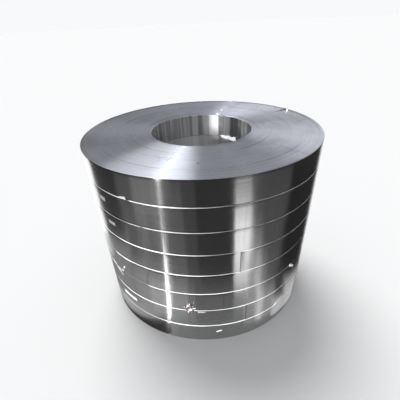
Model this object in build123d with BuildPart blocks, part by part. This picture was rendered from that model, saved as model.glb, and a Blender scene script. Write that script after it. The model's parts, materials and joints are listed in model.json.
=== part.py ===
"""Eight narrow aluminium strip coils from one slitting run, stacked on end on one axis.

Millimetres. +Z is up. The origin is the centre of the stack's lower face, on the coils' axis.
Coil 1 is the top one. Angles are counted anticlockwise from +X, seen from above.
"""

import os
from math import cos, degrees, radians, sin

from build123d import *

# Sizes of the strip and of the coils wound from it: the bore is the mandrel's, the build is the wound wall
coil_count = 8
bore_diameter = 508.0
winding_build = 341.0
strip_width = 117.0
strip_gauge = 0.5

# The loose outer end of each strip, top coil first: the angle where its free edge stands, its length past the
# last turn, and how many degrees it springs out
tail_angles = (31.2, 118.0, 159.0, -75.2, -136.0, 65.0, -70.8, 141.0)
tail_lengths = (70.0, 30.0, 30.0, 30.0, 30.0, 30.0, 30.0, 30.0)
tail_kick = 2.0

# The outermost turns have slipped down, so each coil has a sloping shoulder and each joint is a groove
shoulder_widths = (1.2, 7.0, 4.5, 4.0, 4.0, 4.0, 4.0, 4.0)

# The lower edges of the innermost turns have crept up in the bore
bore_creep_width = 5.0
bore_creep_height = 4.0

# Bundles of turns that lie a little lower on the stack's open upper end: where one starts and ends in the
# wound wall, counted out from the bore or in from the outer wall, and how deep it lies
bundles_from_bore = ((8.0, 29.0, 1.0), (96.0, 188.0, 0.6))
bundles_from_wall = ((16.0, 84.0, 0.9),)

# Adhesive tape on the outer wall: coil, first angle, last angle, middle above the coil's foot, height
tapes = (
    (2, -141.0, -136.4, 71.0, 20.0),
    (3, -138.0, -132.9, 72.0, 18.0),
    (7, -141.0, -129.8, 63.0, 20.0),
)
tape_thickness = 0.6
tape_seat_gap = 0.2

# How far a turning cut runs out past the wall
cut_clearance = 1.0

# Worked out from the sizes above
bore_radius = bore_diameter / 2
outer_radius = bore_radius + winding_build
wall_radius = outer_radius - strip_gauge
top_coil = 1


def foot_height(number):
    """Height of a coil's lower face above the floor."""
    return (coil_count - number) * strip_width


def head_height(number):
    """Height of a coil's upper face above the floor."""
    return foot_height(number) + strip_width


def root_angle(number):
    """Angle where the loose tail leaves its coil."""
    return tail_angles[number - 1] + degrees(tail_lengths[number - 1] / outer_radius)


def coil_plan(number):
    """Plan of one coil: a spiral of two half circles, stepped at the tail's root, with its bore."""
    quarter = strip_gauge / 4
    far_side = (-(wall_radius + 2 * quarter), 0)
    with BuildSketch(Plane.XY.offset(foot_height(number)).rotated((0, 0, root_angle(number)))) as plan:
        with BuildLine():
            ThreePointArc((wall_radius, 0), (-quarter, -(wall_radius + quarter)), far_side)
            ThreePointArc(far_side, (quarter, wall_radius + 3 * quarter), (outer_radius, 0))
            Line((outer_radius, 0), (wall_radius, 0))
        make_face()
        Circle(bore_radius, mode=Mode.SUBTRACT)
    return plan.sketch


def tail_plan(number):
    """Plan of the strip's straight outer end, which springs away from the turn below it."""
    length = tail_lengths[number - 1]
    along_x = sin(radians(tail_kick))
    along_y = -cos(radians(tail_kick))
    outer_root = (outer_radius, 0)
    outer_tip = (outer_radius + length * along_x, length * along_y)
    inner_tip = (outer_tip[0] + strip_gauge * along_y, outer_tip[1] - strip_gauge * along_x)
    inner_root = (wall_radius, 0)
    buried_root = (wall_radius - 2 * strip_gauge, 2 * strip_gauge)
    with BuildSketch(Plane.XY.offset(foot_height(number)).rotated((0, 0, root_angle(number)))) as plan:
        with BuildLine():
            Polyline(outer_root, outer_tip, inner_tip, inner_root, buried_root, close=True)
        make_face()
    return plan.sketch


def ring_section(*corners):
    """Half section of a ring, its corners given as radius and height."""
    with BuildSketch(Plane.XZ) as section:
        with BuildLine():
            Polyline(*corners, close=True)
        make_face()
    return section.sketch


def shoulder_section(number):
    """Half section of what the slipped outer turns leave open above a coil's sloping shoulder."""
    width = shoulder_widths[number - 1]
    head = head_height(number)
    clear = outer_radius + cut_clearance
    return ring_section((outer_radius - width, head), (clear, head), (clear, head - width - cut_clearance))


def creep_section(number):
    """Half section of what the crept inner turns leave open at the foot of the bore."""
    foot = foot_height(number)
    edge = (bore_radius, foot + bore_creep_height)
    return ring_section((bore_radius + bore_creep_width, foot), (bore_radius, foot), edge)


def bundle_sections():
    """Half sections of the shallow bands where bundles of turns lie lower on the open upper end."""
    head = head_height(top_coil)
    rings = [(bore_radius + start, bore_radius + end, depth) for start, end, depth in bundles_from_bore]
    rings += [(outer_radius - end, outer_radius - start, depth) for start, end, depth in bundles_from_wall]
    for inner, outer, depth in rings:
        yield ring_section((inner, head), (outer, head), (outer, head - depth), (inner, head - depth))


def make_coil(number):
    """One slit coil as a turned solid with its bore, shoulder, crept bore edge, bundles and loose tail."""
    with BuildPart() as coil:
        extrude(coil_plan(number), amount=strip_width)
        revolve(shoulder_section(number), axis=Axis.Z, mode=Mode.SUBTRACT)
        revolve(creep_section(number), axis=Axis.Z, mode=Mode.SUBTRACT)
        if number == top_coil:
            for section in bundle_sections():
                revolve(section, axis=Axis.Z, mode=Mode.SUBTRACT)
        extrude(tail_plan(number), amount=strip_width - shoulder_widths[number - 1])
    coil.part.label = f"slit_coil_{number}"
    return coil.part


def make_tape(number, first, last, middle, height):
    """A strip of adhesive tape that follows the coil's wall."""
    inner = outer_radius + tape_seat_gap
    outer = inner + tape_thickness
    foot = foot_height(number) + middle - height / 2
    span = last - first
    end_x, end_y = cos(radians(span)), sin(radians(span))
    with BuildPart() as tape:
        with BuildSketch(Plane.XY.offset(foot).rotated((0, 0, first))):
            with BuildLine():
                CenterArc((0, 0), inner, 0, span)
                CenterArc((0, 0), outer, 0, span)
                Line((inner, 0), (outer, 0))
                Line((inner * end_x, inner * end_y), (outer * end_x, outer * end_y))
            make_face()
        extrude(amount=height)
    tape.part.label = f"tape_strip_{number}"
    return tape.part


os.makedirs("parts", exist_ok=True)
for number in range(1, coil_count + 1):
    export_step(make_coil(number), f"parts/slit_coil_{number}.step")
for tape in tapes:
    piece = make_tape(*tape)
    export_step(piece, f"parts/{piece.label}.step")
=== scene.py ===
"""Looks of a stack of eight slit aluminium strip coils: turned ends, rolled walls, loose tails, tape and scraps.

Metres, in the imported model's own frame. Angles are counted anticlockwise from +X, seen from above.
"""

import json
import math

import bpy
import numpy as np
from mathutils import Matrix, Vector


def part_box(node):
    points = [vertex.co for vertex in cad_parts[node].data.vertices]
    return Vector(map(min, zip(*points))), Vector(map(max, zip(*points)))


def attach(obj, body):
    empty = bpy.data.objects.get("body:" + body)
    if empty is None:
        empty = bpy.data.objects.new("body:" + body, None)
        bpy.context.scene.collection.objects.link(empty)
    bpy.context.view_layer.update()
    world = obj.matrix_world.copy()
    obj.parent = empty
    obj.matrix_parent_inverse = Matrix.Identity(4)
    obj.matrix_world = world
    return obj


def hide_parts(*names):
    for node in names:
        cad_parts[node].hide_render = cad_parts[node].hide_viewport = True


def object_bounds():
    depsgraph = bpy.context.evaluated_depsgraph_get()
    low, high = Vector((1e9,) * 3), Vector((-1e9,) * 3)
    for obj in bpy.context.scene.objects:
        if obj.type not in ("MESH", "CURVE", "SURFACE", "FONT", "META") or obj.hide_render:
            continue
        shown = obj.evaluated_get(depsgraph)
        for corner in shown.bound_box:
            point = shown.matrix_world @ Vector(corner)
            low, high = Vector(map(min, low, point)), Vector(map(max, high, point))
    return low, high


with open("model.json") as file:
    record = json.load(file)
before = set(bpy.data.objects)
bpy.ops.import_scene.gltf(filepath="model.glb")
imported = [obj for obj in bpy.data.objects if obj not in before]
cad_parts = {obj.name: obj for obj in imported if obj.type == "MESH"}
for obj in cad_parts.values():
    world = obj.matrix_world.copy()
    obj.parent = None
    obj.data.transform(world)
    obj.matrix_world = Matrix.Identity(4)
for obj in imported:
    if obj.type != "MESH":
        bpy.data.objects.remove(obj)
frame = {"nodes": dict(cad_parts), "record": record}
cad_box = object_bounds()

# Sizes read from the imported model
coil_names = sorted(name for name in frame["nodes"] if name.startswith("slit_coil"))
tape_names = sorted(name for name in frame["nodes"] if name.startswith("tape_strip"))
bore_radius = frame["record"]["mounts"][0]["dims"]["r_mm"] / 1000
outer_radius = min(abs(cad_box[side][axis]) for side in (0, 1) for axis in (0, 1))

# Sizes of the strip and of the edges that its turns make, top coil first. A foot that has crept in rises by a share
# of its width
strip_gauge = 0.0005
arris = 0.0012
shoulder_widths = (0.0012, 0.007, 0.0045, 0.004, 0.004, 0.004, 0.004, 0.004)
bore_crept = 0.004
foot_crept = (0.0045, 0.0035, 0.0035, 0.0025, 0.0012, 0.0012, 0.0012, 0.0005)
foot_rise = 0.8

# Slack and tight places of the wound wall: how far they stray, the lobes of each wave round the coil, the lobes and
# the share of the wall's lean, how far all of it is set back, and how far in from the wall the end follows it
wall_wave = 0.00022
wave_lobes = (2, 5, 9, 14)
lean_lobes = 3
lean_share = 0.2
wave_setback = 1.6
wave_reach = 0.02

# How much of its shoulder each coil shows: the share of the full width at each angle in degrees. The strip's edge is
# missing at two breaks, given with their half widths
SLIPS = {
    2: ((-160, 0.30), (-143, 0.15), (-136, 0.08), (-129, 0.20), (-115, 0.32), (-107, 0.43), (-101, 0.36), (-94, 0.13),
        (-80, 0.03)),
    3: ((-160, 0.25), (-134, 0.10), (-128, 0.09), (-122, 0.22), (-114, 0.36), (-104, 0.44), (-94, 0.20), (-80, 0.05)),
    4: ((-150, 0.60), (-143, 0.90), (-136, 0.25), (-129, 0.85), (-108, 0.95), (-101, 0.55), (-94, 0.40), (-86, 0.10),
        (-79, 0.08), (-73, 0.40), (-66, 0.18), (-58, 0.06)),
    5: ((-150, 0.05), (-140, 0.10), (-137, 1.50), (-128, 1.30), (-125, 0.50), (-115, 0.57), (-106, 0.80), (-94, 0.56),
        (-86, 0.25), (-66, 0.32), (-59, 0.06)),
    6: ((-150, 0.80), (-143, 1.40), (-137, 0.90), (-134, 0.05), (-120, 0.05), (-117, 1.00), (-101, 1.00), (-80, 0.86),
        (-66, 0.56), (-52, 0.10)),
    7: ((-150, 0.50), (-143, 1.50), (-122, 1.45), (-108, 1.10), (-94, 0.70), (-87, 0.50), (-73, 1.15), (-59, 0.75),
        (-52, 0.30), (-45, 0.12)),
    8: ((-150, 0.50), (-143, 0.15), (-136, 0.75), (-129, 0.22), (-115, 0.45), (-109, 1.40), (-94, 1.40), (-87, 0.80),
        (-80, 1.35), (-66, 1.20), (-45, 0.85)),
}
BREAKS = {2: (-121.3, 0.9), 3: (-116.4, 0.8)}
break_steepness = 4

# The dented rim of the top coil: angle and half width in degrees, depth, how far in it reaches, and the share of the
# coil's height above which it drops
dent_middle, dent_half_width = 31.2, 0.95
dent_depth, dent_reach = 0.023, 0.100
dent_above = 0.9

# Loose tails: their lengths, top coil first, and how much farther their heads spring off than their feet
tail_lengths = (0.070, 0.030, 0.030, 0.030, 0.030, 0.030, 0.030, 0.030)
tail_twist = 0.25

# Fineness of the turned meshes, and the seed of their random draws
columns, dent_columns, tail_columns = 480, 9, 14
bore_rows, shoulder_rows, wall_rows = 5, 4, 9
coil_seed = 40

# The open end: its low bundles of turns (start and end counted out from the bore, and depth), the least and greatest
# width of a ring, how near the rim the last one starts to count as the rim's, and the greatest depth of a ring
low_bundles = ((0.008, 0.029, 0.0010), (0.096, 0.188, 0.0006), (0.257, 0.325, 0.0009))
ring_widths = (0.003, 0.011)
near_rim = 0.010
ring_depth = 0.00022


def radius_and_angle(node):
    """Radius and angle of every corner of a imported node, with the corners themselves."""
    mesh = frame["nodes"][node].data
    corners = np.empty(len(mesh.vertices) * 3, np.float32)
    mesh.vertices.foreach_get("co", corners)
    corners = corners.reshape(-1, 3).astype(float)
    radius = np.hypot(corners[:, 0], corners[:, 1])
    return radius, np.arctan2(corners[:, 1], corners[:, 0]), corners


def make_object(name, corners, faces, materials, kinds=None, smooth_below=35):
    """A mesh object with one material for each kind of face, smooth where it is round."""
    mesh = bpy.data.meshes.new(name)
    mesh.from_pydata(np.asarray(corners).tolist(), [], faces)
    for material in materials:
        mesh.materials.append(material)
    if kinds is not None:
        mesh.polygons.foreach_set("material_index", kinds)
    mesh.validate()
    mesh.shade_smooth()
    mesh.set_sharp_from_angle(angle=math.radians(smooth_below))
    made = bpy.data.objects.new(name, mesh)
    bpy.context.scene.collection.objects.link(made)
    return made


class Builder:
    """Collects grids of corners into the corners, faces and face kinds of one mesh."""

    def __init__(self):
        self.corners, self.faces, self.kinds = [], [], []

    def add(self, grid, row_kinds):
        """Adds a grid of rows by columns, whose last row is closed to the first."""
        rows, cols = grid.shape[:2]
        start = len(self.corners)
        self.corners.extend(grid.reshape(-1, 3).tolist())
        for row in range(rows):
            here, there = start + row * cols, start + (row + 1) % rows * cols
            for col in range(cols - 1):
                self.faces.append((here + col, there + col, there + col + 1, here + col + 1))
                self.kinds.append(row_kinds[row])


# Kinds of face on a coil
FACE, END, EDGE, BORE = 0, 1, 2, 3


def end_relief(rng):
    """Rings of the open end: radius and depth, two for each bundle of turns, from the bore outwards."""
    inner, outer = bore_radius + arris, outer_radius - arris
    edges = [inner]
    while edges[-1] < outer - near_rim:
        edges.append(edges[-1] + rng.uniform(*ring_widths))
    edges[-1] = outer
    rings = []
    for start, end in zip(edges, edges[1:]):
        middle = (start + end) / 2 - bore_radius
        depth = rng.uniform(0, ring_depth)
        depth += sum(low for first, last, low in low_bundles if first < middle < last)
        rings += [(start, depth), (end, depth)]
    return rings


def coil_profile(number, foot, head, rng):
    """Half section of a coil, from the foot of its bore up, across and down: radius, height and face kind."""
    shoulder = shoulder_widths[number - 1]
    rows = [(bore_radius + bore_crept, foot, END)]
    rows += [(bore_radius, z, BORE) for z in np.linspace(foot + bore_crept, head - arris, bore_rows)]
    rings = end_relief(rng) if number == 1 else [(bore_radius + arris, 0), (outer_radius - shoulder, 0)]
    rings[-1] = (outer_radius - shoulder, rings[-1][1])
    rows += [(r, head - depth, END) for r, depth in rings[:-1]]
    for turn in np.linspace(0, math.pi / 2, shoulder_rows, endpoint=False):
        rows.append((outer_radius - shoulder * (1 - math.sin(turn)), head - shoulder * (1 - math.cos(turn)), EDGE))
    crept = foot_crept[number - 1]
    rows += [(outer_radius, z, FACE) for z in np.linspace(head - shoulder, foot + foot_rise * crept, wall_rows)]
    rows[-1] = (*rows[-1][:2], END)
    rows.append((outer_radius - crept, foot, END))
    return rows


def slip_share(number, angle):
    """How much of its shoulder a coil shows at each angle."""
    if number not in SLIPS:
        return np.ones_like(angle)
    around = (np.degrees(angle) + 180) % 360 - 180
    share = np.interp(around, *np.array(SLIPS[number]).T, period=360)
    if number in BREAKS:
        middle, half_width = BREAKS[number]
        share = share * (1 - np.exp(-((around - middle) / half_width) ** break_steepness))
    return share


def dent_drop(angle, radius):
    """How far the dented rim of the top coil lies down, at each angle of a ring."""
    off = np.abs((np.degrees(angle) - dent_middle + 180) % 360 - 180)
    outwards = (radius - outer_radius + dent_reach) / dent_reach
    return dent_depth * np.clip(1 - off / dent_half_width, 0, 1) * np.clip(outwards, 0, 1)


def wall_offset(angle, height_share, phases):
    """How far the wound wall stands back at an angle, from the slack and tight places of its turns."""
    slack = sum(np.cos(lobes * angle + phase) / lobes for lobes, phase in phases)
    lean = lean_share * np.cos(lean_lobes * angle + phases[0][1]) * (height_share - 0.5)
    return wall_wave * (slack + lean - wave_setback)


def make_coil(number, materials):
    """A coil as a turned mesh: bore, end with its turns, wall with its last turn, and the loose tail."""
    node = f"slit_coil_{number}"
    foot, head = (corner.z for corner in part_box(node))
    radius, angle, _ = radius_and_angle(node)
    tip_angle, tip_lift = angle[radius.argmax()], radius.max() - outer_radius
    tail_length = tail_lengths[number - 1]
    root_angle = tip_angle + tail_length / outer_radius
    rng = np.random.default_rng(coil_seed + number)
    phases = [(lobes, rng.uniform(0, math.tau)) for lobes in wave_lobes]
    rows = coil_profile(number, foot, head, rng)

    turn = np.linspace(0, 1, columns + 1)
    if number == 1:
        dent = (root_angle - math.radians(dent_middle)) / math.tau
        turn = np.union1d(turn, dent + np.linspace(-1, 1, dent_columns) * dent_half_width / 360)
    around = root_angle - math.tau * turn
    slip = slip_share(number, around)
    grid = np.empty((len(rows), len(turn), 3))
    for row, (r, z, kind) in enumerate(rows):
        share = (z - foot) / (head - foot)
        at, height = np.full(len(turn), r), np.full(len(turn), z)
        if kind == EDGE or (kind == FACE and z > head - shoulder_widths[number - 1] - arris):
            at, height = outer_radius - (outer_radius - at) * slip, head - (head - height) * slip
        if r > outer_radius - wave_reach:
            at += wall_offset(around, share, phases) - strip_gauge * (1 - turn)
        if number == 1 and share > dent_above:
            height -= dent_drop(around, r)
        grid[row] = np.stack([at * np.cos(around), at * np.sin(around), height], -1)
    coil = Builder()
    coil.add(grid, [kind for _, _, kind in rows])

    along = np.linspace(0, 1, tail_columns)
    tail_around = root_angle - along * tail_length / outer_radius
    shell = []
    heights = np.linspace(foot + strip_gauge, head - shoulder_widths[number - 1], wall_rows)
    for inside in (0, 1):
        for z in heights if not inside else heights[::-1]:
            share = (z - foot) / (head - foot)
            at = outer_radius + wall_offset(tail_around, share, phases) - inside * strip_gauge
            at += (tip_lift + wall_wave) * along**2 * (1 + tail_twist * (share - 0.5) * along)
            shell.append(np.stack([at * np.cos(tail_around), at * np.sin(tail_around), np.full_like(at, z)], -1))
    coil.add(np.array(shell), [FACE] * (2 * wall_rows))

    made = make_object(f"coil_{number}", coil.corners, coil.faces, materials, coil.kinds)
    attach(made, "root")
    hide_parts(node)
    return made


def on_wall(angle, depth, lift, radius=outer_radius):
    """Points on a round wall, from their angles in degrees and their depths below the open end."""
    a = np.radians(angle)
    height = np.broadcast_to(cad_box[1].z - depth, np.shape(a))
    return np.stack([(radius + lift) * np.cos(a), (radius + lift) * np.sin(a), height], -1)


def between(corners, rows, cols):
    """A grid of angles and a grid of depths between four corners, taken round the patch."""
    first, second, third, fourth = np.array(corners, float)
    down, along = np.meshgrid(np.linspace(0, 1, rows), np.linspace(0, 1, cols), indexing="ij")
    down, along = down[..., None], along[..., None]
    spot = (1 - down) * ((1 - along) * first + along * second) + down * ((1 - along) * fourth + along * third)
    return spot[..., 0], spot[..., 1]


def make_sheet(name, front, back, material, smooth_below=35):
    """A closed thin sheet from its front and back grids."""
    rows, cols = front.shape[:2]
    size = rows * cols
    cells = [(r * cols + c, r * cols + c + 1) for r in range(rows - 1) for c in range(cols - 1)]
    faces = [(i + cols, j + cols, j, i) for i, j in cells]
    faces += [(size + i, size + j, size + j + cols, size + i + cols) for i, j in cells]
    edge = list(range(cols)) + [r * cols + cols - 1 for r in range(1, rows)]
    edge += [(rows - 1) * cols + c for c in range(cols - 2, -1, -1)] + [r * cols for r in range(rows - 2, 0, -1)]
    faces += [(i, j, size + j, size + i) for i, j in zip(edge, edge[1:] + edge[:1])]
    corners = np.concatenate([front.reshape(-1, 3), back.reshape(-1, 3)])
    sheet = make_object(name, corners, faces, [material], smooth_below=smooth_below)
    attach(sheet, "root")
    return sheet


# Adhesive tape: its thickness, its stand-off from the wall, how far its wrinkles (metres) and its torn ends (degrees)
# stray, and the fineness of its mesh. One piece is clean film
tape_thickness = 0.00012
tape_lift = 0.00030
tape_wrinkle = 0.00006
tape_torn = 0.12
tape_rows, tape_cols = 9, 28
clean_tape = "tape_strip_7"


def make_tape(node, material):
    """A strip of tape in a packed tape's place, with torn ends and small wrinkles."""
    _, angle, corners = radius_and_angle(node)
    rng = np.random.default_rng(int(node[-1]))
    first, last = np.degrees([angle.min(), angle.max()])
    high, low = cad_box[1].z - corners[:, 2].max(), cad_box[1].z - corners[:, 2].min()
    patch = [(first, high), (last, high), (last, low), (first, low)]
    angles, depths = between(patch, tape_rows, tape_cols)
    angles[:, 0] += rng.uniform(0, tape_torn, tape_rows)
    angles[:, -1] -= rng.uniform(0, tape_torn, tape_rows)
    wrinkle = tape_wrinkle * rng.uniform(-1, 1, angles.shape)
    front = on_wall(angles, depths, tape_lift + tape_thickness + wrinkle)
    back = on_wall(angles, depths, tape_lift + wrinkle)
    tape = make_sheet(node.replace("strip", "film"), front, back, material)
    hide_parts(node)
    return tape


# Scraps of film, tape and torn strip on the wall: four corners as angle and depth, rows, columns, how far the folds
# stand off, and material
SCRAPS = {
    "loose_tape": ([(-146.6, 0.560), (-137.8, 0.611), (-137.6, 0.621), (-146.6, 0.571)], 4, 20, 0.0006, "film"),
    "film_thread": ([(-134.2, 0.533), (-133.5, 0.535), (-136.2, 0.582), (-136.9, 0.580)], 8, 3, 0.0008, "film"),
    "edge_tab": ([(-44.2, 0.574), (-39.4, 0.612), (-39.9, 0.622), (-44.7, 0.583)], 3, 9, 0.0010, "film"),
    "torn_edge": ([(-126.5, 0.112), (-122.0, 0.103), (-121.7, 0.117), (-125.5, 0.117)], 5, 12, 0.0016, "dull"),
    "wisp_left": ([(-99.75, 0.630), (-99.6, 0.630), (-99.2, 0.668), (-99.35, 0.668)], 9, 2, 0.0008, "dull"),
    "wisp_right": ([(-96.6, 0.638), (-96.45, 0.638), (-96.9, 0.670), (-97.05, 0.670)], 8, 2, 0.0008, "dull"),
    "film_fringe": ([(-94.9, 0.706), (-90.8, 0.709), (-91.2, 0.716), (-94.9, 0.717)], 3, 10, 0.0010, "dull"),
    "foot_smear": ([(-86.2, 0.870), (-83.6, 0.858), (-83.2, 0.866), (-85.8, 0.877)], 4, 8, 0.0008, "film"),
    "crease_high": ([(-52.4, 0.803), (-46.4, 0.784), (-46.2, 0.788), (-52.2, 0.807)], 3, 10, 0.0008, "film"),
    "crease_low": ([(-54.0, 0.822), (-50.4, 0.797), (-50.0, 0.800), (-53.6, 0.826)], 3, 9, 0.0010, "film"),
}

# All scraps: the stand-off of their flat parts, their thickness, how far their corners stray as a share of a cell,
# and the angle above which a fold is sharp, for scraps and for the ball of film
scrap_lift = 0.0003
scrap_thickness = 0.0001
scrap_jitter = 0.35
scrap_fold_angle, ball_fold_angle = 12, 5


def within_box(lift, angle):
    """A stand-off from the wall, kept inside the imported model's box."""
    a = np.radians(angle)
    half_x, half_y = (min(abs(cad_box[side][axis]) for side in (0, 1)) for axis in (0, 1))
    reach = np.minimum(half_x / np.abs(np.cos(a)), half_y / np.abs(np.sin(a)))
    return np.minimum(lift, reach - outer_radius - scrap_thickness)


def make_scrap(name, corners, rows, cols, fold, material):
    """A crumpled scrap, whose grid strays in its plane and folds sharply off the wall."""
    rng = np.random.default_rng(len(name) + rows * cols)
    angles, depths = between(corners, rows, cols)
    span = np.ptp(np.array(corners), axis=0)
    angles += scrap_jitter * rng.uniform(-1, 1, angles.shape) * span[0] / cols
    depths += scrap_jitter * rng.uniform(-1, 1, depths.shape) * span[1] / rows
    lift = within_box(scrap_lift + fold * rng.random(angles.shape) ** 2, angles)
    front, back = on_wall(angles, depths, lift + scrap_thickness), on_wall(angles, depths, lift)
    return make_sheet(name, front, back, material, smooth_below=scrap_fold_angle)


# The ball of film on the wall: angle and depth of its middle, half sizes in degrees and metres, how far its folds
# stand off in the middle and what share of that at the outline, corners round it and rings, seed, the share of the
# half size where the rings start and where hollows and points of the outline lie, which corners are points, and how
# far the corners stray
ball_angle, ball_depth = -98.4, 0.686
ball_half_sizes = (2.5, 0.033)
ball_fold, ball_outline_fold = 0.0095, 0.35
ball_spokes, ball_rings = 29, 7
ball_seed = 11
ball_core = 0.04
ball_hollows, ball_points = (0.45, 0.85), (0.95, 1.35)
ball_point_every = 3
ball_jitter = 0.07


def make_crumple(material):
    """A crumpled ball of film on the wall, with a ragged outline of points and sharp folds."""
    rng = np.random.default_rng(ball_seed)
    turn = np.linspace(0, math.tau, ball_spokes)
    hollows, points = rng.uniform(*ball_hollows, ball_spokes), rng.uniform(*ball_points, ball_spokes)
    reach = np.where(np.arange(ball_spokes) % ball_point_every, hollows, points)
    reach[-1] = reach[0]
    stray = rng.uniform(-ball_jitter, ball_jitter, (ball_rings, ball_spokes))
    share = np.linspace(ball_core, 1, ball_rings)[:, None] * reach + stray
    fold = ball_fold * rng.random((ball_rings, ball_spokes))
    lift = scrap_lift + fold * np.linspace(1, ball_outline_fold, ball_rings)[:, None]
    share[:, -1], lift[:, -1] = share[:, 0], lift[:, 0]
    angles = ball_angle + ball_half_sizes[0] * share * np.cos(turn)
    depths = ball_depth + ball_half_sizes[1] * share * np.sin(turn)
    lift = within_box(lift, angles)
    front, back = on_wall(angles, depths, lift + scrap_thickness), on_wall(angles, depths, lift)
    return make_sheet("film_crumple", front, back, material, smooth_below=ball_fold_angle)


# The sliver of film on the rim: half width at the wall and turn to its inner end in degrees, how much it narrows, how
# far from the wall it starts, how far in it reaches, how deep it lies, and the fineness of its mesh
sliver_half_width, sliver_turn = 0.85, 7.6
sliver_narrowing = 0.92
sliver_start, sliver_reach = 0.0006, 0.072
sliver_depth = 0.00005
sliver_rows, sliver_cols = 8, 4


def make_rim_sliver(material):
    """A torn sliver of film that lies over the dent in the top coil's rim, and narrows inwards to the right."""
    steps = np.linspace(0, 1, sliver_rows), np.linspace(-1, 1, sliver_cols)
    inward, across = np.meshgrid(*steps, indexing="ij")
    angles = dent_middle - sliver_turn * inward + sliver_half_width * across * (1 - sliver_narrowing * inward)
    lift = sliver_start + sliver_reach * inward
    front = on_wall(angles, sliver_depth, -lift)
    back = on_wall(angles, sliver_depth + scrap_thickness, -lift)
    return make_sheet("rim_sliver", front, back, material)


# The crumpled innermost turn of the top coil: four corners as angle and depth, rows and columns, seed, how far its
# corners stray up and down, how far it stands off the bore at least and at its folds, and the power that makes high
# folds rare
crumpled_turn = [(64, 0.109), (38, 0.106), (39, 0.132), (61, 0.124)]
crumpled_turn_grid = (7, 26)
crumpled_turn_seed = 7
crumpled_turn_jitter = 0.002
crumpled_turn_lift, crumpled_turn_fold = 0.0008, 0.007
crumpled_turn_power = 1.5


def make_bore_crumple(material):
    """The innermost turn of the top coil, torn and crumpled where it meets the next coil."""
    rng = np.random.default_rng(crumpled_turn_seed)
    angles, depths = between(crumpled_turn, *crumpled_turn_grid)
    depths += crumpled_turn_jitter * rng.uniform(-1, 1, depths.shape)
    lift = -crumpled_turn_lift - crumpled_turn_fold * rng.random(angles.shape) ** crumpled_turn_power
    front = on_wall(angles, depths, lift, bore_radius)
    back = on_wall(angles, depths, lift + strip_gauge, bore_radius)
    return make_sheet("bore_crumple", front, back, material, smooth_below=scrap_fold_angle)


# Materials


class Nodes:
    """A short way to write a material's nodes."""

    def __init__(self, tree):
        self.tree = tree
        self.tree.nodes.clear()

    def new(self, kind, settings=None, **inputs):
        node = self.tree.nodes.new(kind)
        for key, value in (settings or {}).items():
            setattr(node, key, value)
        for key, value in inputs.items():
            self.put(node, key.replace("_", " "), value)
        return node

    def put(self, node, key, value):
        socket = node.inputs[int(key) if key.isdigit() else key]
        if isinstance(value, bpy.types.NodeSocket):
            self.tree.links.new(value, socket)
        else:
            socket.default_value = value

    def pair(self, kind, operation, first, second):
        node = self.new(kind, {"operation": operation})
        self.put(node, "0", first)
        self.put(node, "1", second)
        return node

    def math(self, operation, first, second=0.0):
        return self.pair("ShaderNodeMath", operation, first, second).outputs[0]

    def vector(self, operation, first, second):
        return self.pair("ShaderNodeVectorMath", operation, first, second)

    def range(self, value, low, high, to_low=0.0, to_high=1.0):
        smooth = {"interpolation_type": "SMOOTHSTEP"}
        limits = {"From_Min": low, "From_Max": high, "To_Min": to_low, "To_Max": to_high}
        return self.new("ShaderNodeMapRange", smooth, Value=value, **limits).outputs[0]

    def mix(self, share, first, second):
        node = self.new("ShaderNodeMix", {"data_type": "RGBA"})
        self.put(node, "0", share)
        self.put(node, "6", first)
        self.put(node, "7", second)
        return node.outputs[2]

    def noise(self, vector, scale, detail, rough):
        node = self.new("ShaderNodeTexNoise", Vector=vector, Scale=scale, Detail=detail, Roughness=rough)
        return node.outputs["Fac"]

    def bump(self, height, strength, distance):
        return self.new("ShaderNodeBump", Height=height, Strength=strength, Distance=distance).outputs[0]

    def surface(self, shader):
        self.put(self.new("ShaderNodeOutputMaterial"), "Surface", shader.outputs[0])


def new_material(name):
    """A material without nodes yet, and the short way to write them."""
    material = bpy.data.materials.new(name)
    material.use_nodes = True
    return material, Nodes(material.node_tree)


def coil_place(n):
    """The shaded point's x, y, height and radius."""
    split = n.new("ShaderNodeSeparateXYZ", Vector=n.new("ShaderNodeTexCoord").outputs["Object"])
    x, y, z = split.outputs
    return x, y, z, n.math("SQRT", n.math("ADD", n.math("MULTIPLY", x, x), n.math("MULTIPLY", y, y)))


def turned_noise(n, round_scale, radial_scale, height_scale, detail, rough):
    """A noise stretched along the turns, from its scales round the coil, across its radius and up its height."""
    x, y, z, radius = coil_place(n)
    joined = n.new("ShaderNodeCombineXYZ")
    n.put(joined, "0", n.math("MULTIPLY", n.math("DIVIDE", x, radius), round_scale))
    n.put(joined, "1", n.math("MULTIPLY", n.math("DIVIDE", y, radius), round_scale))
    n.put(joined, "2", n.math("ADD", n.math("MULTIPLY", radius, radial_scale), n.math("MULTIPLY", z, height_scale)))
    return n.noise(joined.outputs[0], 1.0, detail, rough)


# The share of a full turn by which highlights are turned, so that they stretch across the turns of the strip
highlight_turn = 0.25


def metal(name, anisotropic, metallic=1.0):
    """A metal whose highlights stretch across the turns, ready for its colour, roughness and bump."""
    material, n = new_material(name)
    shader = n.new("ShaderNodeBsdfPrincipled", Metallic=metallic, Anisotropic=anisotropic)
    n.put(shader, "Anisotropic Rotation", highlight_turn)
    tangent = n.new("ShaderNodeTangent", {"direction_type": "RADIAL", "axis": "Z"})
    n.put(shader, "Tangent", tangent.outputs[0])
    n.surface(shader)
    return material, n, shader


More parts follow.
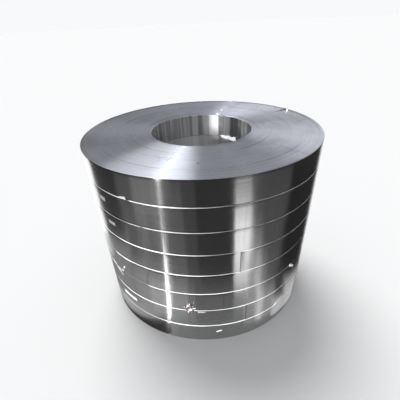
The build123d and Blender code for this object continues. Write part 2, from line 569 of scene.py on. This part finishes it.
# Noises stretched along the turns: scales round the coil, across its radius and up its height, detail and roughness
rolling_lines = (1.2, 60, 260, 3.0, 0.6)
face_clouds = (3.0, 2, 9, 2.0, 0.5)
cross_marks = (45, 0, 4, 2.0, 0.6)
turn_lines = (1.0, 900, 0, 4.0, 0.7)
bundle_lines = (0.8, 160, 0, 3.0, 0.6)
end_blots = (5.0, 14, 0, 3.0, 0.5)
edge_burrs = (30, 40, 40, 4.0, 0.7)
# The streaks round the bore are painted light and shade, standing for its reflections
bore_lines = (9.0, 0, 20, 3.0, 0.6)
bore_light_streaks = (7.0, 0, 0.6, 2.0, 0.6)

# Colours of the rolled face: its dark and pale lines, its clouds and its marks across the turns
face_dark, face_pale = (0.40, 0.40, 0.40, 1), (0.49, 0.49, 0.485, 1)
face_cloud, face_chatter = (0.41, 0.415, 0.41, 1), (0.34, 0.34, 0.34, 1)


def face_metal():
    """The rolled face of the strip, on the wall: bright, with fine rolling lines and faint marks across the turns."""
    material, n, shader = metal("rolled_face", 1.0)
    fine = turned_noise(n, *rolling_lines)
    cloud = turned_noise(n, *face_clouds)
    chatter = turned_noise(n, *cross_marks)
    colour = n.mix(n.range(fine, 0.3, 0.7), face_dark, face_pale)
    colour = n.mix(n.range(cloud, 0.3, 0.8), colour, face_cloud)
    n.put(shader, "Base Color", n.mix(n.range(chatter, 0.48, 0.72, 0.0, 0.35), colour, face_chatter))
    n.put(shader, "Roughness", n.range(fine, 0.3, 0.75, 0.155, 0.19))
    n.put(shader, "Normal", n.bump(fine, 0.006, 0.0004))
    return material


# Straight marks across the turns of the open end: angle in degrees and radius of each end, and half width
MARKS = (
    ((-159.3, 0.544), (-153.4, 0.262), 0.0022),
    ((29.1, 0.309), (31.2, 0.590), 0.0024),
    ((-39.8, 0.398), (-42.9, 0.588), 0.0022),
)

# How dark the marks and the painted rim shade are, and the share of a mark's half width that is full. A dark line of
# painted shade also runs along the far part of the rim: how far in from the wall it starts and is full, and the y
# where it starts and is full
mark_and_shade_strength = 0.8
mark_core = 0.3
rim_shade_start, rim_shade_full = 0.020, 0.012
rim_shade_y = (0.10, 0.30)


def end_place(angle, radius):
    """A place on the open end."""
    a = math.radians(angle)
    return Vector((radius * math.cos(a), radius * math.sin(a), cad_box[1].z))


def mark_mask(n, first, last, half_width):
    """One on a straight mark between two places on the open end, and nought away from it."""
    start = end_place(*first)
    along = end_place(*last) - start
    from_start = n.vector("SUBTRACT", n.new("ShaderNodeTexCoord").outputs["Object"], start).outputs[0]
    share = n.vector("DOT_PRODUCT", from_start, along / along.length_squared).outputs["Value"]
    nearest = n.new("ShaderNodeVectorMath", {"operation": "SCALE"})
    n.put(nearest, "0", along)
    n.put(nearest, "Scale", n.math("MINIMUM", n.math("MAXIMUM", share, 0.0), 1.0))
    off = n.vector("DISTANCE", from_start, nearest.outputs[0]).outputs["Value"]
    return n.range(off, mark_core * half_width, half_width, 1.0, 0.0)


# Colours of the slit ends: dark and pale bundles of turns, blots, and the marks with the painted rim shade. Their
# blue tint is a painted reflection of the sky. A bundle's line stands out this many times as far as a turn's
end_dark, end_pale = (0.495, 0.51, 0.57, 1), (0.575, 0.59, 0.66, 1)
end_blot, mark_and_shade_colour = (0.485, 0.51, 0.58, 1), (0.16, 0.17, 0.20, 1)
bundle_relief = 1.5


def end_metal():
    """The slit edges of all turns, packed side by side: satin, with a line for each bundle of turns, a painted blue
    reflection of the sky in their colour, and painted shade along the far part of the rim.
    """
    material, n, shader = metal("slit_edges", 1.0)
    fine = turned_noise(n, *turn_lines)
    band = turned_noise(n, *bundle_lines)
    blot = turned_noise(n, *end_blots)
    colour = n.mix(n.range(band, 0.32, 0.68), end_dark, end_pale)
    colour = n.mix(n.range(blot, 0.45, 0.8), colour, end_blot)
    _, y, _, radius = coil_place(n)
    # Painted shade: a dark line along the rim, which comes up only on its far part
    painted_rim_shade = n.range(radius, outer_radius - rim_shade_start, outer_radius - rim_shade_full)
    marks_and_rim_shade = n.math("MULTIPLY", painted_rim_shade, n.range(y, *rim_shade_y))
    for mark in MARKS:
        marks_and_rim_shade = n.math("MAXIMUM", marks_and_rim_shade, mark_mask(n, *mark))
    n.put(shader, "Base Color", n.mix(n.math("MULTIPLY", marks_and_rim_shade, mark_and_shade_strength), colour, mark_and_shade_colour))
    n.put(shader, "Roughness", n.range(blot, 0.3, 0.7, 0.27, 0.33))
    relief = n.math("ADD", fine, n.math("MULTIPLY", band, bundle_relief))
    n.put(shader, "Normal", n.bump(relief, 0.05, 0.0004))
    return material


# Colours of the burred edges, dark and pale
burr_dark, burr_pale = (0.74, 0.75, 0.76, 1), (0.90, 0.90, 0.89, 1)


def edge_metal():
    """The sloping outer edges at a joint: dull and burred, alike in every direction."""
    material, n, shader = metal("burred_edge", 0.0, metallic=0.25)
    burr = turned_noise(n, *edge_burrs)
    n.put(shader, "Base Color", n.mix(n.range(burr, 0.3, 0.7), burr_dark, burr_pale))
    n.put(shader, "Roughness", n.range(burr, 0.3, 0.7, 0.42, 0.58))
    return material


def bore_metal(name, low, high):
    """The first turns in the bore: the same strip as on the wall, with painted streaks of light and shade round it.
    """
    material, n, shader = metal(name, 0.6)
    fine = turned_noise(n, *bore_lines)
    streak = turned_noise(n, *bore_light_streaks)
    dark, pale = (low, low, 1.02 * low, 1), (high, high, 1.01 * high, 1)
    # Painted streaks of light and shade round the bore
    n.put(shader, "Base Color", n.mix(n.range(streak, 0.42, 0.60), dark, pale))
    n.put(shader, "Roughness", n.range(streak, 0.3, 0.7, 0.34, 0.44))
    n.put(shader, "Normal", n.bump(fine, 0.10, 0.0008))
    return material


def film_like(name, dark, pale, roughness, contrast=0.15, grain=240):
    """Thin plastic film or tape, whitish where it is wrinkled. A near-black dark colour is painted shade between
    folds.
    """
    material, n = new_material(name)
    shader = n.new("ShaderNodeBsdfPrincipled")
    wrinkle = n.noise(n.new("ShaderNodeTexCoord").outputs["Object"], grain, 4.0, 0.65)
    n.put(shader, "Base Color", n.mix(n.range(wrinkle, 0.5 - contrast, 0.5 + contrast), (*dark, 1), (*pale, 1)))
    n.put(shader, "Roughness", n.range(wrinkle, 0.3, 0.7, roughness, roughness + 0.15))
    n.put(shader, "Normal", n.bump(wrinkle, 0.4, 0.0006))
    n.surface(shader)
    return material


# Stage

floor_radius = 60.0
floor_corners = 96
floor_colour = (0.93, 0.93, 0.93, 1)


def make_floor():
    """A wide round floor of pale matt paper."""
    bpy.ops.mesh.primitive_circle_add(vertices=floor_corners, radius=floor_radius, fill_type="NGON")
    floor = bpy.context.object
    floor.name = "studio_floor"
    paper, n = new_material("pale_paper")
    n.surface(n.new("ShaderNodeBsdfDiffuse", Color=floor_colour))
    floor.data.materials.append(paper)


def unit_direction(azimuth, elevation):
    """The direction to an azimuth and an elevation in degrees."""
    a, e = math.radians(azimuth), math.radians(elevation)
    return Vector((math.cos(a) * math.cos(e), math.sin(a) * math.cos(e), math.sin(e)))


# The studio dome: radiance at the horizon, half-way up in front, behind and behind the right side, and overhead
dome_belt, dome_front, dome_back, dome_right, dome_top = 0.965, 0.30, 0.36, 1.05, 0.62
dome_right_azimuth = 55
dome_colour = (0.97, 0.98, 1.0, 1)

# Where the dome's parts meet, on a unit direction: from front to back along +Y, from the edge to the middle of the
# right part along its azimuth, and in height where the belt fades out and the top comes in
dome_front_to_back, dome_right_rise = (-0.5, 0.2), (0.72, 0.96)
dome_belt_fade, dome_top_rise = (0.05, 0.16), (0.70, 0.90)


def make_world():
    """A plain studio dome: pale at the horizon and behind the right side, grey elsewhere."""
    world = bpy.data.worlds.new("studio_dome")
    bpy.context.scene.world = world
    world.use_nodes = True
    n = Nodes(world.node_tree)
    direction = n.new("ShaderNodeTexCoord").outputs["Generated"]
    _, y, z = n.new("ShaderNodeSeparateXYZ", Vector=direction).outputs
    towards_right = n.vector("DOT_PRODUCT", direction, unit_direction(dome_right_azimuth, 0)).outputs["Value"]
    middle = n.range(y, *dome_front_to_back, dome_front, dome_back)
    middle = n.math("MAXIMUM", middle, n.range(towards_right, *dome_right_rise, 0.0, dome_right))
    belt = n.range(z, *dome_belt_fade, 1.0, 0.0)
    top = n.range(z, *dome_top_rise)
    strength = n.math("ADD", n.math("MULTIPLY", belt, dome_belt), n.math("MULTIPLY", top, dome_top))
    rest = n.math("SUBTRACT", n.math("SUBTRACT", 1.0, belt), top)
    strength = n.math("ADD", strength, n.math("MULTIPLY", rest, middle))
    background = n.new("ShaderNodeBackground", Color=dome_colour, Strength=strength)
    n.put(n.new("ShaderNodeOutputWorld"), "Surface", background.outputs[0])


def sight_line(wall_angle, distance, height):
    """The point that the wall mirrors to the camera at an angle, a distance out from the wall."""
    a = math.radians(wall_angle)
    wall = Vector((math.cos(a), math.sin(a))) * outer_radius
    towards = camera_place.xy - wall
    mirrored = 2 * a - math.atan2(towards.y, towards.x)
    spot = wall + Vector((math.cos(mirrored), math.sin(mirrored))) * distance
    return Vector((*spot, height))


# Cards that lie on the floor, dark ones and lit ones, which only mirrors show: first and last angle on the wall that
# mirrors them, how far out from the wall they start and end, and their radiance. All were set one by one
CARDS = (
    (-158, -142.8, 0.85, 3.6, 1.7),
    (-158, -142.8, 0.13, 0.55, 0.35),
    (-142.8, -126, 0.90, 2.6, 0.08),
    (-142.8, -126, 0.15, 0.90, 0.44),
    (-126, -118, 0.60, 2.6, 0.20),
    (-126, -118, 0.15, 0.60, 0.56),
    (-118, -113.5, 0.45, 1.35, 0.31),
    (-113.5, -108, 0.45, 1.35, 0.23),
    (-118, -108, 1.35, 2.6, 0.45),
    (-150, -109.5, 0.01, 0.13, 0.06),
    (-99, -95.5, 0.12, 0.40, 0.42),
    (-95.5, -78, 0.12, 0.40, 0.27),
    (-108, -104, 0.40, 2.6, 0.12),
    (-104, -98, 0.40, 2.6, 0.19),
    (-98, -93, 0.40, 2.6, 0.11),
    (-93, -78.2, 0.40, 2.6, 0.06),
    (-78.2, -71.5, 0.40, 0.70, 1.5),
    (-78.2, -71.4, 0.70, 1.05, 2.4),
    (-78.2, -71.2, 1.05, 1.45, 1.7),
    (-78.2, -72.4, 1.45, 2.6, 0.42),
    (-71.5, -67.4, 0.32, 0.70, 0.62),
    (-71.4, -69.6, 0.70, 1.05, 0.95),
    (-71.2, -70, 1.05, 1.45, 0.45),
    (-72.4, -70, 1.45, 2.6, 0.20),
    (-67.4, -64.8, 0.32, 0.70, 1.05),
    (-69.6, -65.3, 0.70, 1.05, 0.42),
    (-64.8, -61.5, 0.32, 0.70, 0.42),
    (-61.5, -54, 0.32, 0.70, 0.19),
    (-65.3, -54, 0.70, 1.05, 0.17),
    (-70, -54, 1.05, 2.6, 0.15),
    (-72, -65.5, 0.06, 0.32, 0.50),
    (-65.5, -61.5, 0.06, 0.32, 1.20),
    (-61.5, -54, 0.06, 0.32, 0.55),
    (-54, -30, 0.32, 2.6, 0.035),
    (-54, -46, 0.16, 0.32, 0.10),
    (-54, -46, 0.03, 0.16, 1.0),
    (-46, -32, 0.03, 0.30, 0.85),
)

# How far the cards lie above the floor, and the dark screens behind those that end farther out than a distance
card_lift = 0.002
screen_from = 2.0
screen_height = 2.0
screen_tone = 0.05


def stage_card(name, corners, radiance):
    """A flat card of the stage, of one plain radiance, that only mirrors show."""
    material, n = new_material(name)
    n.surface(n.new("ShaderNodeEmission", Color=(radiance, radiance, radiance, 1)))
    card = make_object(name, corners, [(0, 1, 2, 3)], [material])
    card.visible_camera = card.visible_diffuse = card.visible_shadow = False


def make_card(number, first, last, start, end, radiance):
    """A card that lies between two sight lines, with a dark screen behind it where it is a far one."""
    near_first, near_last = sight_line(first, start, card_lift), sight_line(last, start, card_lift)
    far_first, far_last = sight_line(first, end, card_lift), sight_line(last, end, card_lift)
    stage_card(f"card_{number}", [near_first, near_last, far_last, far_first], radiance)
    if end > screen_from:
        up = Vector((0, 0, screen_height))
        stage_card(f"screen_{number}", [far_first, far_last, far_last + up, far_first + up], screen_tone)


# The lit strip that lies on those cards and draws the lower part of the hot streak: for each cross line its
# distance, sight angle and half width in degrees, then the radiance of each stretch between two cross lines
STREAK = (
    (0.13, -109.3, 0.80), (0.28, -108.7, 0.65), (0.45, -108.1, 0.45), (0.60, -107.7, 0.32), (0.85, -107.5, 0.20),
    (1.20, -107.2, 0.16),
)
streak_radiance = (7.0, 7.0, 7.5, 6.0, 2.0)


def make_streak():
    """A narrow lit strip that slants across the sight lines, in stretches that dim with the distance."""
    lines = []
    for distance, angle, half in STREAK:
        lines.append([sight_line(angle + side * half, distance, 2 * card_lift) for side in (-1, 1)])
    for number, (near, far, radiance) in enumerate(zip(lines, lines[1:], streak_radiance), 1):
        stage_card(f"streak_{number}", [near[0], near[1], far[1], far[0]], radiance)


def new_light(name, kind, looks):
    """A light of a kind, which looks along a direction."""
    light = bpy.data.objects.new(name, bpy.data.lights.new(name, kind))
    bpy.context.scene.collection.objects.link(light)
    light.rotation_mode = "QUATERNION"
    light.rotation_quaternion = looks.to_track_quat("-Z", "Y")
    return light


def make_key_light(azimuth=112, elevation=58, strength=2.15, spread=34):
    """The broad soft light high behind the left side, which throws the shadow forward. Mirrors don't show it."""
    key = new_light("key_light", "SUN", -unit_direction(azimuth, elevation))
    key.data.energy, key.data.angle = strength, math.radians(spread)
    key.visible_glossy = False


# Lamps: azimuth, elevation and distance of the middle from the place they look at, width, height and radiance
lamp_aim = Vector((0, 0, 0.6))
LAMPS = {
    "fan_lamp": (112, 60, 3.2, 0.8, 0.8, 6.0),
    "panel_right": (-50, 16, 4.0, 0.8, 2.4, 1.6),
    "panel_left": (129, 51, 4.0, 2.4, 1.8, 2.0),
}


def add_lamp(lit, name, place, width, height, radiance):
    """A lamp that the camera doesn't see. It lights the coils alone and leaves the floor to the dome and the key."""
    lamp = new_light(name, "AREA", lamp_aim - place)
    lamp.location = place
    lamp.data.shape, lamp.data.size, lamp.data.size_y = "RECTANGLE", width, height
    lamp.data.energy = radiance * math.pi * width * height
    lamp.visible_camera = False
    lamp.light_linking.receiver_collection = lit
    return lamp


def make_lamp(lit, name, azimuth, elevation, distance, width, height, radiance):
    """A lamp of the table, placed round the stack."""
    add_lamp(lit, name, lamp_aim + unit_direction(azimuth, elevation) * distance, width, height, radiance)


def make_edge_lamp(lit, wall_angle=-105.3, distance=5.0, height=2.0, size=(0.06, 0.9), radiance=900.0):
    """The narrow bright lamp at the front left that draws the upper part of the hot streak."""
    add_lamp(lit, "edge_lamp", sight_line(wall_angle, distance, height), *size, radiance)


def make_fill_lamp(lit, place=(-0.55, -4.2, 2.6), size=(1.6, 1.0), radiance=56.0):
    """The soft front light on dull surfaces: burred edges, tape and film. Polished ones don't mirror it."""
    lamp = add_lamp(lit, "fill_lamp", Vector(place), *size, radiance)
    lamp.visible_glossy = False


# Camera: its place, its turn and its lens, fitted to the rims, walls and joints of the photograph. The lens and the
# drop of its axis are in pixels of the picture, and the sensor in millimetres
camera_place = Vector((0, -1.5940645, 1.408311))
camera_yaw, camera_pitch, camera_roll = -0.0222, 0.6524, -0.0508
lens_pixels = 304.93
picture_pixels = 400
axis_below_centre_pixels = 45
sensor_width = 36.0


def make_camera():
    """The camera of the photograph."""
    data = bpy.data.cameras.new("camera")
    data.sensor_width = sensor_width
    data.lens = lens_pixels / picture_pixels * sensor_width
    data.shift_y = axis_below_centre_pixels / picture_pixels
    camera = bpy.data.objects.new("camera", data)
    bpy.context.scene.collection.objects.link(camera)
    turn = Matrix.Rotation(-camera_yaw, 4, "Z") @ Matrix.Rotation(math.pi / 2 - camera_pitch, 4, "X")
    camera.matrix_world = Matrix.Translation(camera_place) @ turn @ Matrix.Rotation(camera_roll, 4, "Z")
    bpy.context.scene.camera = camera


face, end = face_metal(), end_metal()
# Painted light: the lower coils' bore is painted lighter than the top coil's, though both are the same strip
upper_bore_painted_streaks, lower_bore_painted_light = bore_metal("upper_bore_painted_streaks", 0.40, 0.86), bore_metal("lower_bore_painted_light", 0.80, 0.95)
edge = edge_metal()
lit = bpy.data.collections.new("lit_by_lamps")
for number in range(1, len(coil_names) + 1):
    outer_edge, bore = (end, upper_bore_painted_streaks) if number == 1 else (edge, lower_bore_painted_light)
    lit.objects.link(make_coil(number, [face, end, outer_edge, bore]))
sheets = {
    "tape": film_like("tape", (0.15, 0.15, 0.145), (0.24, 0.24, 0.235), 0.45),
    "film": film_like("film", (0.70, 0.64, 0.65), (0.93, 0.91, 0.91), 0.22),
    "dull": film_like("dull_edge", (0.26, 0.26, 0.26), (0.40, 0.40, 0.39), 0.45),
    # Painted shade: the crushed film's near-black colour stands for the shade between its folds
    "crushed": film_like("crushed_film_painted_fold_shade", (0.05, 0.025, 0.025), (0.80, 0.78, 0.78), 0.25, contrast=0.02, grain=85),
}
for node in tape_names:
    lit.objects.link(make_tape(node, sheets["film" if node == clean_tape else "tape"]))
for scrap, (corners, rows, cols, fold, kind) in SCRAPS.items():
    lit.objects.link(make_scrap(scrap, corners, rows, cols, fold, sheets[kind]))
lit.objects.link(make_crumple(sheets["crushed"]))
lit.objects.link(make_bore_crumple(edge))
lit.objects.link(make_rim_sliver(sheets["film"]))
make_floor()
make_world()
for number, card in enumerate(CARDS, 1):
    make_card(number, *card)
make_streak()
for lamp_name, place in LAMPS.items():
    make_lamp(lit, lamp_name, *place)
make_edge_lamp(lit)
make_fill_lamp(lit)
make_key_light()
make_camera()
bpy.context.scene.view_settings.view_transform = "Standard"
